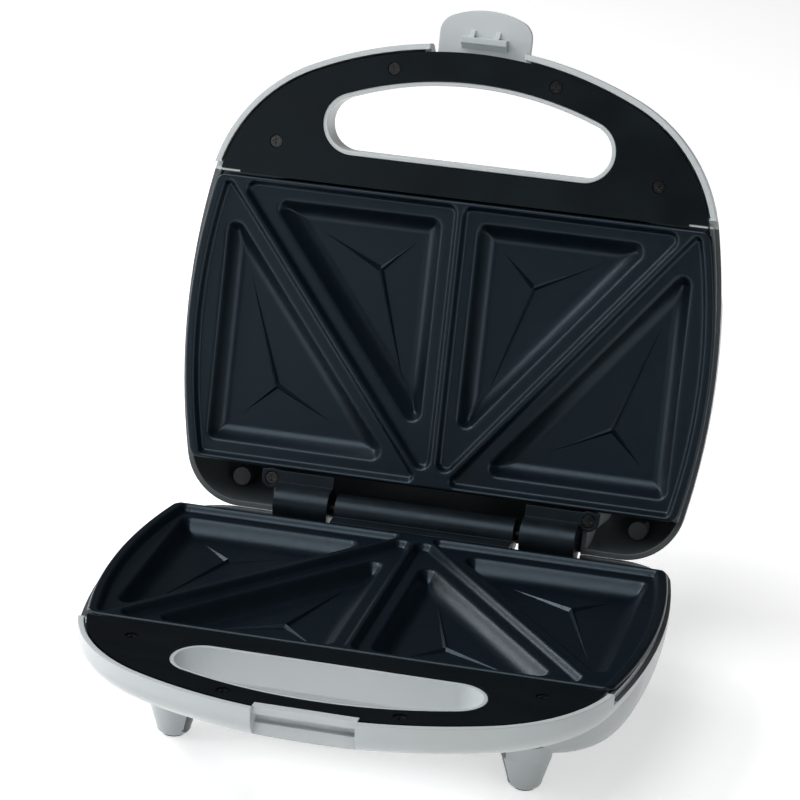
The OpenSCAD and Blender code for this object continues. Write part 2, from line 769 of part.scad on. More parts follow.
module base_cover_screws() color(steel_c) in_base() cover_screw_set();
module lid_cover_screws() color(steel_c) in_lid() cover_screw_set();
module base_plate_screws() color(steel_c) in_base() plate_screw_set();
module lid_plate_screws() color(steel_c) in_lid() plate_screw_set();
module base_hinge_screws() color(steel_c) in_base() for (s = [-1, 1])
    translate([s * hinge_screw_x, hinge_screw_y, deck_z - wall]) mirror([0, 0, 1])
        screw(screw_r, hinge_screw_l, head_r, head_h);
module lid_hinge_screws() color(steel_c) in_lid() both_sides()
    translate([tongue_x, tongue_y, tab_top - 1.2]) screw(screw_r, 9, head_r, head_h - 0.5);

/* ---------- hinge ---------- */

module along_x(x0, x1, r) translate([x0, hinge_y, 0]) rotate([0, 90, 0]) cylinder(r = r, h = x1 - x0);

module base_hinge_bracket() color(black_c) in_base() difference() {
    union() {
        along_x(-mid_knuckle_half, mid_knuckle_half, mid_knuckle_r);
        block(-mid_knuckle_half, mid_knuckle_half, tab_front, hinge_y, tab_top - tab_t, tab_top);
        // web and foot down to the deck
        block(-mid_knuckle_half + 3, mid_knuckle_half - 3, hinge_y - 4.6, rear_reach - wall - 0.6, deck_z, -3);
    }
    along_x(-mid_knuckle_half - 1, mid_knuckle_half + 1, pin_r);
    for (s = [-1, 1]) translate([s * hinge_screw_x, hinge_screw_y, -20])
        cylinder(r = screw_r + screw_fit, h = 20 + deck_z - wall + hinge_screw_l + 0.5);
}

module lid_hinge() difference() {
    union() {
        along_x(lid_knuckle_in, lid_knuckle_in + lid_knuckle_l, lid_knuckle_r);
        block(lid_knuckle_in, tongue_x, tab_front, tongue_y, tab_top - tab_t, tab_top);
        block(lid_knuckle_in, lid_knuckle_in + lid_knuckle_l, tab_front, hinge_y, tab_top - tab_t, tab_top);
        translate([tongue_x, tongue_y, tab_top - tab_t]) cylinder(r = tongue_r, h = tab_t);
        block(tongue_x - tongue_r, tongue_x + tongue_r, tab_front, tongue_y, tab_top - tab_t, tab_top);
    }
    along_x(lid_knuckle_in - 1, lid_knuckle_in + lid_knuckle_l + 1, pin_r + run_fit);
    translate([tongue_x, tongue_y, -10]) cylinder(r = screw_r + 0.3, h = 12);
    translate([tongue_x, tongue_y, tab_top - 1.2]) cylinder(r = head_r + 0.4, h = 12);
}

module lid_hinge_right() color(black_c) in_lid() lid_hinge();
module lid_hinge_left() color(black_c) in_lid() mirror([1, 0, 0]) lid_hinge();

pin_half = lid_knuckle_in + lid_knuckle_l - 0.5;
module hinge_pin() color(steel_c) in_base() along_x(-pin_half, pin_half, pin_r);

/* ---------- latch ---------- */

// the latch's tab as it hangs when closed: straight sides, two round corners and a bowed tip
module latch_tab_outline() {
    tip_arc_r = 38;
    tab_r = 8;
    arc_c = [0, tip_arc_r - latch_l];
    c = [latch_w / 2 - tab_r, arc_c.y - sqrt(pow(tip_arc_r - tab_r, 2) - pow(latch_w / 2 - tab_r, 2))];
    seam = beyond(arc_c, c);
    core([c, c + [tab_r, 0], [c.x + tab_r, latch_hub_r]]);
    arc_part(arc_c, tip_arc_r, [c, seam, mirrored(seam), mirrored(c)]);
    both_sides() arc_part(c, tab_r, [c, seam, c + [120, 0]]);
}

module latch() color(casing_c) in_latch() difference() {
    union() {
        translate([0, -latch_reach, 0]) rotate([90, 0, 0]) linear_extrude(latch_t) latch_tab_outline();
        block(-latch_w / 2, latch_w / 2, -latch_reach - 0.5, 0, -latch_hub_r, latch_hub_r);
        translate([-latch_w / 2, 0, 0]) rotate([0, 90, 0]) cylinder(r = latch_hub_r, h = latch_w);
        difference() {
            block(-hook_half, hook_half, -latch_reach - 0.5, -hook_tip, hook_bottom, -9);
            translate([-hook_half - 1, 0, 0]) rotate([0, 90, 0]) cylinder(r = catch_r, h = 2 * hook_half + 2);
        }
        for (s = [-1, 1]) translate([s * 5.5 - 1, 0, 0]) rotate([90, 0, 90]) linear_extrude(2)
            polygon([[-latch_reach - 0.5, hook_bottom + 1], [-hook_tip - 0.7, hook_bottom + 1],
                     [-hook_tip - 0.7, hook_bottom], [-latch_reach - 0.5, hook_bottom - 3.6]]);
    }
    translate([-latch_w, 0, 0]) rotate([0, 90, 0]) cylinder(r = latch_pin_r + run_fit, h = 2 * latch_w);
}

module latch_pin() color(steel_c) in_lid() translate([-recess_half - wall, latch_y, latch_z])
    rotate([0, 90, 0]) cylinder(r = latch_pin_r, h = 2 * (recess_half + wall));

/* ---------- small parts ---------- */

module foot_pads() color(black_c) in_base() both_sides() for (y = [foot_front_y, foot_rear_y])
    translate([foot_x, y, -parting_h]) cylinder(r = pad_r - 0.05, h = pad_t);

terminal_h = 10;
module terminal_block() color([0.92, 0.90, 0.84]) in_base() difference() {
    block(30, 58, -26, -12, -shell_depth + wall, -shell_depth + wall + terminal_h);
    for (x = [35, 44, 53]) translate([x, -19, -shell_depth + wall + 5]) cylinder(r = 2.2, h = 8);
}

module thermal_fuse() color(steel_c) in_base() {
    translate([-14, -60, stud_z - sheet_t - 3]) rotate([0, 90, 0]) cylinder(r = 3, h = 28);
}

module cord_gland() color(black_c) in_base() translate([gland_x, 0, gland_z]) rotate([-90, 0, 0]) difference() {
    union() {
        translate([0, 0, rear_reach - 8]) cylinder(r = gland_r - 0.05, h = 8);
        translate([0, 0, rear_reach]) cylinder(r = gland_flange_r, h = 2.5);
    }
    cylinder(r = gland_bore_r, h = 60);
}

// a lead with a crimped sleeve at each end
module lead(p, q) {
    v = q - p;
    l = norm(v);
    translate(p) rotate([0, acos(v.z / l), angle_of(v)]) {
        cylinder(r = lead_r, h = l);
        cylinder(r = sleeve_r, h = 5);
        translate([0, 0, l - 5]) cylinder(r = sleeve_r, h = 5);
    }
}

module base_wiring() color([0.85, 0.30, 0.22]) in_base() {
    end_z = -shell_depth + wall + terminal_h + sleeve_r + 3 * lead_gap;
    lead([12, heater_y[0], lead_z], [35, -24, end_z]);
    lead([-12, heater_y[0], lead_z], [44, -14, end_z]);
}

lens_x = 12;
lens_y = -95;
lens_r = 4;
module lens(s) translate([s * lens_x, lens_y, -shell_depth]) {
    translate([0, 0, -0.8]) cylinder(r = lens_r - 0.05, h = 0.8 + wall);
    translate([0, 0, wall]) cylinder(r = lens_r + 1.4, h = 1);
}
module power_lens() color([0.85, 0.10, 0.08]) in_lid() lens(-1);
module ready_lens() color([0.15, 0.65, 0.25]) in_lid() lens(1);

module lamp_holder() color([0.92, 0.90, 0.84]) in_lid() {
    block(-20, 20, lens_y - 6, lens_y + 6, -shell_depth + wall + 4.6, -shell_depth + wall + 6.6);
    for (s = [-1, 1]) translate([s * lens_x, lens_y, -shell_depth + wall + 1.1]) cylinder(r = 2.6, h = 4);
    for (s = [-1, 1]) block(s * 20 - 1, s * 20 + 1, lens_y - 6, lens_y + 6, -shell_depth + wall, -shell_depth + wall + 6.6);
}

contact_z = stud_z - sheet_t - 7;
module thermostat() color(brass_c) in_lid() {
    translate([0, -60, stud_z - sheet_t - 4]) cylinder(r = 8, h = 4);
    block(-12, 12, -63, -57, contact_z, stud_z - sheet_t - 4 + eps);
}

module lid_wiring() color([0.85, 0.30, 0.22]) in_lid() {
    for (s = [-1, 1]) lead([s * 12, heater_y[0], lead_z], [s * 10, -58, contact_z - sleeve_r - lead_gap]);
}

/* ---------- nodes ---------- */

base_shell();
base_handle_cover();
base_plate();
base_heater();
base_reflector();
base_hinge_bracket();
hinge_pin();
base_cover_screws();
base_hinge_screws();
base_plate_screws();
foot_pads();
terminal_block();
thermal_fuse();
cord_gland();
base_wiring();
lid_shell();
lid_handle_cover();
lid_plate();
lid_heater();
lid_reflector();
lid_hinge_left();
lid_hinge_right();
lid_cover_screws();
lid_hinge_screws();
lid_plate_screws();
thermostat();
power_lens();
ready_lens();
lamp_holder();
lid_wiring();
latch_pin();
latch();
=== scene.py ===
"""Sandwich toaster standing open: its cooking plates, finishes, floor, lights and camera."""

import math

import bmesh
import bpy
import numpy as np
from mathutils import Matrix, Vector


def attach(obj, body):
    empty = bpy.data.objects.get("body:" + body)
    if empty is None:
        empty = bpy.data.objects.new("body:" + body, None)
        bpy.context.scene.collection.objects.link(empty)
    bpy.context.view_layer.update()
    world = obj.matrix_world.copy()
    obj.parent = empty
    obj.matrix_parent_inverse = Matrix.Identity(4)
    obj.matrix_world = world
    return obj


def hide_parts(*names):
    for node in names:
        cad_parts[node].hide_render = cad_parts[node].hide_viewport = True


bl_info = {
    "name": "Sandwich Toaster",
    "version": (1, 0, 0),
    "blender": (4, 5, 0),
    "location": "View3D > Sidebar > Toaster",
    "description": "Cooking plates, finishes and studio of a sandwich toaster standing open",
    "category": "Add Mesh",
}

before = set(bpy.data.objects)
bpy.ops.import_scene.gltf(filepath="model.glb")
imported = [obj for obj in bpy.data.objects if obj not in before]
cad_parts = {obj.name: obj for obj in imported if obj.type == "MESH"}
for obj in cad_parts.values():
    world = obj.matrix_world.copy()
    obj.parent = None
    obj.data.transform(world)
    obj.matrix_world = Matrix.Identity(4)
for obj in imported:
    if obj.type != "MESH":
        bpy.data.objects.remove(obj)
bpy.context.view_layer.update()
MM = 0.001
# what the floor adds to its lit colour where the camera, a reflection or clear plastic sees it
FLOOR_LIFT = 0.55
FLOOR_RADIUS = 9.0
SURROUND_STRENGTH = 0.05
# the camera: its place in metres, its yaw, pitch and roll in degrees, and its lens and sensor in millimetres
CAMERA_SPOT = (0.31106, -1.3878, 0.66908)
CAMERA_TURN = (12.60, -20.58, 3.12)
LENS_LENGTH = 167.93
SENSOR_WIDTH = 36

# Both halves are laid out alike, in millimetres: x to the right, y = 0 at the plate's rear edge with the
# handle towards -y, and z = 0 at the parting plane with the casing below it.
PLATE_BACK = 54.0
PARTING_H = 54.5
HINGE_BACK = 14.3
OPEN_ANGLE = math.radians(104)
# the two right-hand pockets' ridge runs between these points, from the hinge side to a front corner
RIDGE_REAR = Vector((3.6, -1.6))
RIDGE_FRONT = Vector((100.0, -122.4))
# three-armed creases on the pocket floors: the junction, then the three ends
OUTER_CREASE = [(74.4, -34.8), (90.3, -19.0), (44.3, -19.8), (93.0, -88.0)]
INNER_CREASE = [(33.7, -91.1), (17.3, -106.5), (64.5, -106.0), (16.0, -34.0)]
# how far a crease's foot is sunk below the pocket floor
CREASE_SINK = 0.15
# width of the slope from a rim or ridge down to its land, and how much of it is outside the land's outline
LAND_SLOPE = 2.5
SLOPE_OUTSIDE = 1.7
# softness of a pocket's lip, and how fast its wall drops before it flattens on to the floor
LIP_SOFTNESS = 0.35
WALL_CURVE = 2.1
# the plate's edge below the rim's top: how far in from the outline each step lies, and at what height
EDGE_STEPS = ((0, -2.4), (3.2, -2.4), (3.2, -6.0), (6.6, -6.0), (6.6, -12.4))


def half_place(half):
    """Where a half's own layout stands in the frame: the base flat, the lid its mirror image, swung open."""
    stand = Matrix.Translation((0, PLATE_BACK, PARTING_H))
    if half == "lid":
        to_hinge = Matrix.Translation((0, HINGE_BACK, 0))
        swing = Matrix.Rotation(-OPEN_ANGLE, 4, "X")
        stand = stand @ to_hinge @ swing @ to_hinge.inverted() @ Matrix.Diagonal((1, 1, -1, 1))
    return Matrix.Scale(MM, 4) @ stand


# ---------------------------------------------------------------- sizes and colours


def length(name, description, default, low, high):
    """A size in millimetres."""
    return bpy.props.FloatProperty(name=name, description=description, default=default, min=low, max=high)


def colour(name, description, default):
    """A colour, in linear red, green and blue."""
    return bpy.props.FloatVectorProperty(
        name=name, description=description, default=default, min=0, max=1, size=3, subtype="COLOR"
    )


class ToasterPlateSizes(bpy.types.PropertyGroup):
    """Sizes of the cooking plates, in millimetres."""

    width: length("Width", "Width across the bowed sides", 230.6, 220, 232)
    depth: length("Depth", "Depth from front to rear", 125.0, 120, 126)
    bow_radius: length("Side bow", "Radius of the bowed sides", 270.0, 255, 290)
    corner_radius: length("Corners", "Radius of the plate's corners", 4.0, 1, 6)
    rim_top: length("Rim top", "Gap between the rim and the parting plane", 0.3, 0.2, 0.6)
    side_rim: length("Side rim", "Width of the rim along the sides", 5.2, 3, 7)
    end_rim: length("End rim", "Width of the rim at the front and the rear", 3.0, 2, 5)
    rim_round: length("Rim rounding", "Radius of the rim's outer edge", 1.1, 0.3, 1.6)
    ridge_half: length("Ridge half width", "Half the width of a cutting ridge at its foot", 2.3, 1.5, 3)
    land_depth: length("Land depth", "Depth of the lands below the parting plane", 3.3, 2.5, 3.6)
    land_corner: length("Land corners", "Radius of the inner lands' corners", 3.0, 1, 5)
    land_tip: length("Land tips", "Radius of the outer lands' corners", 1.4, 0.5, 3)
    ridge_land: length("Ridge land", "Width of the land between a ridge and a pocket", 8.3, 7, 9)
    pocket_depth: length("Pocket depth", "Depth of the pocket floors below the parting plane", 10.0, 8, 10.5)
    pocket_corner: length("Pocket corners", "Radius of the pockets' corners", 4.0, 2, 6)
    pocket_wall: length("Pocket wall", "Width of the pockets' curved walls", 8.0, 5, 9)
    side_margin: length("Side margin", "Distance of the outer pocket's side from the middle", 102.0, 98, 103)
    rear_margin: length("Rear margin", "Distance of the outer pocket from the rear edge", 8.7, 7, 10)
    front_margin: length("Front margin", "Distance of the inner pocket from the front edge", 9.0, 8, 11)
    divider_margin: length("Divider margin", "Distance of the inner pocket from the middle", 8.0, 7, 10)
    crease_height: length("Crease height", "Height of a crease at its junction", 1.3, 0.6, 3)
    crease_root: length(
        "Crease root", "Distance of the notches between a crease's arms from its junction", 1.5, 0.8, 2.5
    )
    cell: length("Mesh cell", "Spacing of the plate's mesh", 0.62, 0.5, 2)


class ToasterColours(bpy.types.PropertyGroup):
    """Colours of the toaster's finishes."""

    casing: colour("Casing", "Pale moulded casing", (0.56, 0.60, 0.61))
    # painted shade: the dark colour laid on the casing's inner walls behind the plates, where they stand in
    # shadow
    inside: colour("Inside", "Shaded inner walls behind the plates", (0.07, 0.082, 0.087))
    cover: colour("Handle cover", "Satin black handle covers", (0.0008, 0.002, 0.0032))
    coating: colour("Coating", "Non-stick coating of the plates", (0.0016, 0.0042, 0.0072))
    hinge: colour("Hinge", "Black hinge knuckles", (0.004, 0.0065, 0.009))
    steel: colour("Steel", "Plated steel", (0.55, 0.56, 0.57))
    dark_steel: colour("Dark steel", "Blackened screws", (0.2, 0.205, 0.21))
    aluminium: colour("Aluminium", "Pressed aluminium sheet", (0.74, 0.75, 0.76))
    brass: colour("Brass", "Thermostat cup", (0.62, 0.45, 0.19))
    rubber: colour("Rubber", "Foot pads and gland", (0.018, 0.018, 0.019))
    insulator: colour("Insulator", "Cream insulating plastic", (0.72, 0.67, 0.52))
    wire: colour("Wire", "Silicone sleeve of the leads", (0.45, 0.06, 0.035))
    red: colour("Red lens", "Power lamp's lens", (0.42, 0.012, 0.01))
    green: colour("Green lens", "Ready lamp's lens", (0.02, 0.24, 0.045))
    floor: colour("Floor", "Studio floor", (0.9, 0.9, 0.9))


# ---------------------------------------------------------------- finishes


class Finish:
    """A procedural material: one shader, and noise fields laid over the piece in its own millimetres.

    shine is the colour that tints its reflections.
    """

    def __init__(self, name, roughness, metallic=0.0, coat=0.0, coat_roughness=0.1, specular=0.5,
                 shine=(1.0, 1.0, 1.0)):
        self.material = bpy.data.materials.new(name)
        self.material.use_nodes = True
        self.nodes = self.material.node_tree.nodes
        self.links = self.material.node_tree.links
        self.shader = self.nodes["Principled BSDF"]
        self.shader.inputs["Roughness"].default_value = roughness
        self.shader.inputs["Metallic"].default_value = metallic
        self.shader.inputs["Coat Weight"].default_value = coat
        self.shader.inputs["Coat Roughness"].default_value = coat_roughness
        self.shader.inputs["Specular IOR Level"].default_value = specular
        self.shader.inputs["Specular Tint"].default_value = (*shine, 1.0)
        self.place = self.nodes.new("ShaderNodeTexCoord")
        self.normal = None

    def set(self, socket, value):
        """Gives a socket a link or a fixed value."""
        if isinstance(value, bpy.types.NodeSocket):
            self.links.new(value, socket)
        else:
            socket.default_value = value

    def math(self, operation, a, b):
        """A sum on two numbers."""
        node = self.nodes.new("ShaderNodeMath")
        node.operation = operation
        self.set(node.inputs[0], a)
        self.set(node.inputs[1], b)
        return node.outputs[0]

    def vector_math(self, operation, a, b):
        """A sum on two vectors."""
        node = self.nodes.new("ShaderNodeVectorMath")
        node.operation = operation
        self.set(node.inputs[0], a)
        self.set(node.inputs[1], b)
        return node.outputs["Value" if operation == "DOT_PRODUCT" else "Vector"]

    def ramp(self, value, low, high, out_low=0.0, out_high=1.0):
        """Maps low..high to out_low..out_high, held at both ends."""
        node = self.nodes.new("ShaderNodeMapRange")
        self.set(node.inputs["Value"], value)
        node.inputs["From Min"].default_value = low
        node.inputs["From Max"].default_value = high
        node.inputs["To Min"].default_value = out_low
        node.inputs["To Max"].default_value = out_high
        return node.outputs[0]

    def noise(self, size, detail=2.0, stretch=(1.0, 1.0, 1.0)):
        """Noise whose features are about size millimetres across."""
        mapping = self.nodes.new("ShaderNodeMapping")
        mapping.inputs["Scale"].default_value = [s / (size * MM) for s in stretch]
        self.links.new(self.place.outputs["Object"], mapping.inputs["Vector"])
        node = self.nodes.new("ShaderNodeTexNoise")
        node.inputs["Scale"].default_value = 1.0
        node.inputs["Detail"].default_value = detail
        self.links.new(mapping.outputs[0], node.inputs["Vector"])
        return node.outputs["Fac"]

    def mix(self, factor, a, b):
        """A blend from colour a to colour b."""
        factor_socket, a_socket, b_socket, result = 0, 6, 7, 2
        node = self.nodes.new("ShaderNodeMix")
        node.data_type = "RGBA"
        self.set(node.inputs[factor_socket], factor)
        self.set(node.inputs[a_socket], a if isinstance(a, bpy.types.NodeSocket) else (*a, 1.0))
        self.set(node.inputs[b_socket], b if isinstance(b, bpy.types.NodeSocket) else (*b, 1.0))
        return node.outputs[result]

    def attribute(self, name):
        """A number stored on the mesh."""
        node = self.nodes.new("ShaderNodeAttribute")
        node.attribute_name = name
        return node.outputs["Fac"]

    def tint(self, value):
        """Base colour from a link."""
        self.links.new(value, self.shader.inputs["Base Color"])

    def gloss(self, value):
        """Roughness from a link."""
        self.links.new(value, self.shader.inputs["Roughness"])

    def soft_edges(self, radius):
        """Rounds sharp edges in the shading by radius millimetres."""
        node = self.nodes.new("ShaderNodeBevel")
        node.samples = 6
        node.inputs["Radius"].default_value = radius * MM
        self.normal = node.outputs[0]

    def bump(self, height, depth, strength=1.0):
        """Lays a height field of depth millimetres over the surface."""
        node = self.nodes.new("ShaderNodeBump")
        node.inputs["Strength"].default_value = strength
        node.inputs["Distance"].default_value = depth * MM
        self.links.new(height, node.inputs["Height"])
        if self.normal:
            self.links.new(self.normal, node.inputs["Normal"])
        self.normal = node.outputs[0]

    def done(self):
        """The finished material."""
        if self.normal:
            self.links.new(self.normal, self.shader.inputs["Normal"])
        return self.material


def shade(tone, factor):
    """A lighter or darker version of a colour."""
    return [min(1.0, part * factor) for part in tone]


def moulded_casing(name, tones, half=None):
    """Pale glossy moulding with faint flow marks. A casing half gets painted shade on its inner walls behind
    its plate.
    """
    finish = Finish(name, roughness=0.3, coat=0.25, coat_roughness=0.18)
    finish.soft_edges(0.7)
    flow = finish.noise(38, detail=3)
    tone = finish.mix(finish.ramp(flow, 0.3, 0.7), shade(tones.casing, 0.97), shade(tones.casing, 1.03))
    if half:
        # painted shade: the inner walls behind the plate take a dark colour, as if in shadow
        dark = finish.mix(finish.ramp(flow, 0.3, 0.7), shade(tones.inside, 0.8), shade(tones.inside, 1.25))
        tone = finish.mix(painted_shade_mask(finish, half), tone, dark)
    finish.tint(tone)
    finish.gloss(finish.ramp(finish.noise(9, detail=4), 0.3, 0.75, 0.3, 0.38))
    finish.bump(finish.noise(0.5), 0.004)
    return finish.done()


def painted_shade_mask(finish, half):
    """Where the painted shade goes: 1 on the walls and floors behind the plate that face the middle of the
    casing half, 0 elsewhere.
    """
    place = half_place(half)
    middle = place @ Vector((0, -60, -1.5))
    handle_side = place @ Vector((0, -126, 0))
    backwards = place.to_3x3() @ Vector((0, 1, 0))
    point = finish.place.outputs["Object"]
    from_middle = finish.vector_math("SUBTRACT", point, middle)
    facing = finish.vector_math("DOT_PRODUCT", from_middle, finish.place.outputs["Normal"])
    from_handle = finish.vector_math("SUBTRACT", point, handle_side)
    behind = finish.vector_math("DOT_PRODUCT", from_handle, backwards)
    inwards = finish.math("LESS_THAN", facing, 0.0)
    return finish.math("MULTIPLY", inwards, finish.math("GREATER_THAN", behind, 0.0))


def satin_cover(name, tones):
    """Black satin plastic with a very fine sparked texture and a few smears."""
    finish = Finish(name, roughness=0.3, specular=0.3, shine=(0.75, 0.9, 1.0))
    smear = finish.noise(26, detail=5, stretch=(1.0, 2.2, 1.0))
    finish.tint(finish.mix(finish.ramp(smear, 0.35, 0.7), shade(tones.cover, 0.85), shade(tones.cover, 1.3)))
    finish.gloss(finish.ramp(smear, 0.3, 0.7, 0.3, 0.4))
    finish.bump(finish.noise(0.35), 0.02, 0.6)
    return finish.done()


def nonstick_coating(name, tones):
    """Dark blue-grey sprayed coating: fine speckle, orange peel, and polish on the tops of the ridges."""
    finish = Finish(name, roughness=0.34, specular=0.42, shine=(0.66, 0.85, 1.0))
    raised = finish.ramp(finish.attribute("relief"), -1.6, -0.35)
    worn = finish.math("MULTIPLY", raised, finish.ramp(finish.noise(14, 4), 0.35, 0.65))
    speck = finish.ramp(finish.noise(0.42, 1), 0.58, 0.72)
    cloud = finish.ramp(finish.noise(22, 4), 0.3, 0.7)
    base = finish.mix(cloud, shade(tones.coating, 0.86), shade(tones.coating, 1.16))
    base = finish.mix(finish.math("MULTIPLY", speck, 0.35), base, shade(tones.coating, 3.0))
    finish.tint(finish.mix(finish.math("MULTIPLY", worn, 0.3), base, shade(tones.coating, 2.1)))
    rough = finish.ramp(finish.noise(3.0, 4), 0.25, 0.75, 0.32, 0.4)
    finish.gloss(finish.math("SUBTRACT", rough, finish.math("MULTIPLY", worn, 0.02)))
    finish.bump(finish.noise(1.5, 2), 0.03, 0.5)
    finish.bump(finish.noise(0.32, 2), 0.03, 0.8)
    return finish.done()


def hinge_coating(name, tones):
    """Black coating of the cast hinge, slightly rough and rubbed bright where the knuckles turn."""
    finish = Finish(name, roughness=0.36, specular=0.35, shine=(0.66, 0.85, 1.0))
    finish.soft_edges(0.5)
    cloud = finish.ramp(finish.noise(8, 4), 0.3, 0.7)
    rubbed = finish.ramp(finish.noise(5, 5, stretch=(3.0, 1.0, 1.0)), 0.6, 0.78)
    base = finish.mix(cloud, shade(tones.hinge, 0.8), shade(tones.hinge, 1.3))
    finish.tint(finish.mix(finish.math("MULTIPLY", rubbed, 0.4), base, shade(tones.hinge, 2.6)))
    finish.gloss(finish.ramp(cloud, 0, 1, 0.31, 0.43))
    finish.bump(finish.noise(0.8, 3), 0.03, 0.8)
    return finish.done()


def worked_metal(name, tone, roughness, grain):
    """Bare metal with drawn streaks grain millimetres apart and faint tarnish."""
    finish = Finish(name, roughness=roughness, metallic=1.0)
    finish.soft_edges(0.2)
    tarnish = finish.ramp(finish.noise(6, 5), 0.3, 0.75)
    finish.tint(finish.mix(tarnish, shade(tone, 0.8), shade(tone, 1.1)))
    finish.gloss(finish.ramp(finish.noise(2.2, 4), 0.3, 0.7, roughness * 0.8, roughness * 1.3))
    finish.bump(finish.noise(grain, 3, stretch=(1.0, 6.0, 6.0)), 0.02, 0.7)
    return finish.done()


def plain_moulding(name, tone, roughness):
    """A small moulded or rubber part: faint mottling and a fine matt grain."""
    finish = Finish(name, roughness=roughness)
    finish.soft_edges(0.3)
    mottle = finish.ramp(finish.noise(4, 4), 0.3, 0.7)
    finish.tint(finish.mix(mottle, shade(tone, 0.85), shade(tone, 1.15)))
    finish.gloss(finish.ramp(mottle, 0, 1, roughness * 0.9, min(1.0, roughness * 1.15)))
    finish.bump(finish.noise(0.4, 3), 0.03, 0.8)
    return finish.done()


def lamp_lens(name, tone):
    """Clear tinted lens with moulded ripple."""
    finish = Finish(name, roughness=0.12, coat=0.6, coat_roughness=0.05)
    ripple = finish.noise(1.1, 2)
    finish.tint(finish.mix(finish.ramp(ripple, 0.3, 0.7), shade(tone, 0.75), shade(tone, 1.3)))
    finish.gloss(finish.ramp(ripple, 0.3, 0.7, 0.08, 0.2))
    finish.bump(ripple, 0.1)
    return finish.done()


def wear(material, *names):
    """Gives the named CAD pieces a material."""
    for name in names:
        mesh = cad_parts[name].data
        mesh.materials.clear()
        mesh.materials.append(material)


# ---------------------------------------------------------------- cooking plates


def corners_inset(corners, depth):
    """The corners of a convex outline, anticlockwise, with every side moved in by depth."""
    tight = list(corners)
    for a, b in zip(corners, corners[1:] + corners[:1]):
        side = (b - a).normalized()
        inwards = Vector((-side.y, side.x))
        line = a + depth * inwards
        kept = []
        for p, q in zip(tight, tight[1:] + tight[:1]):
            p_in = (p - line).dot(inwards)
            q_in = (q - line).dot(inwards)
            if p_in >= 0:
                kept.append(p)
            if (p_in < 0) != (q_in < 0):
                kept.append(p.lerp(q, p_in / (p_in - q_in)))
        tight = kept
    return tight


def depth_inside(x, y, corners, rounding):
    """How far points lie inside a convex outline whose corners are rounded, negative outside."""
    tight = corners_inset(corners, rounding)
    inside = np.full(x.shape, np.inf)
    away = np.full(x.shape, np.inf)
    for a, b in zip(tight, tight[1:] + tight[:1]):
        side = b - a
        dx = x - a.x
        dy = y - a.y
        inside = np.minimum(inside, (dy * side.x - dx * side.y) / side.length)
        along = np.clip((dx * side.x + dy * side.y) / side.length_squared, 0, 1)
        away = np.minimum(away, np.hypot(dx - along * side.x, dy - along * side.y))
    return np.where(inside > 0, inside, -away) + rounding


def eased(t):
    """0 below 0, 1 above 1, and a smooth rise between."""
    t = np.clip(t, 0, 1)
    return t * t * (3 - 2 * t)


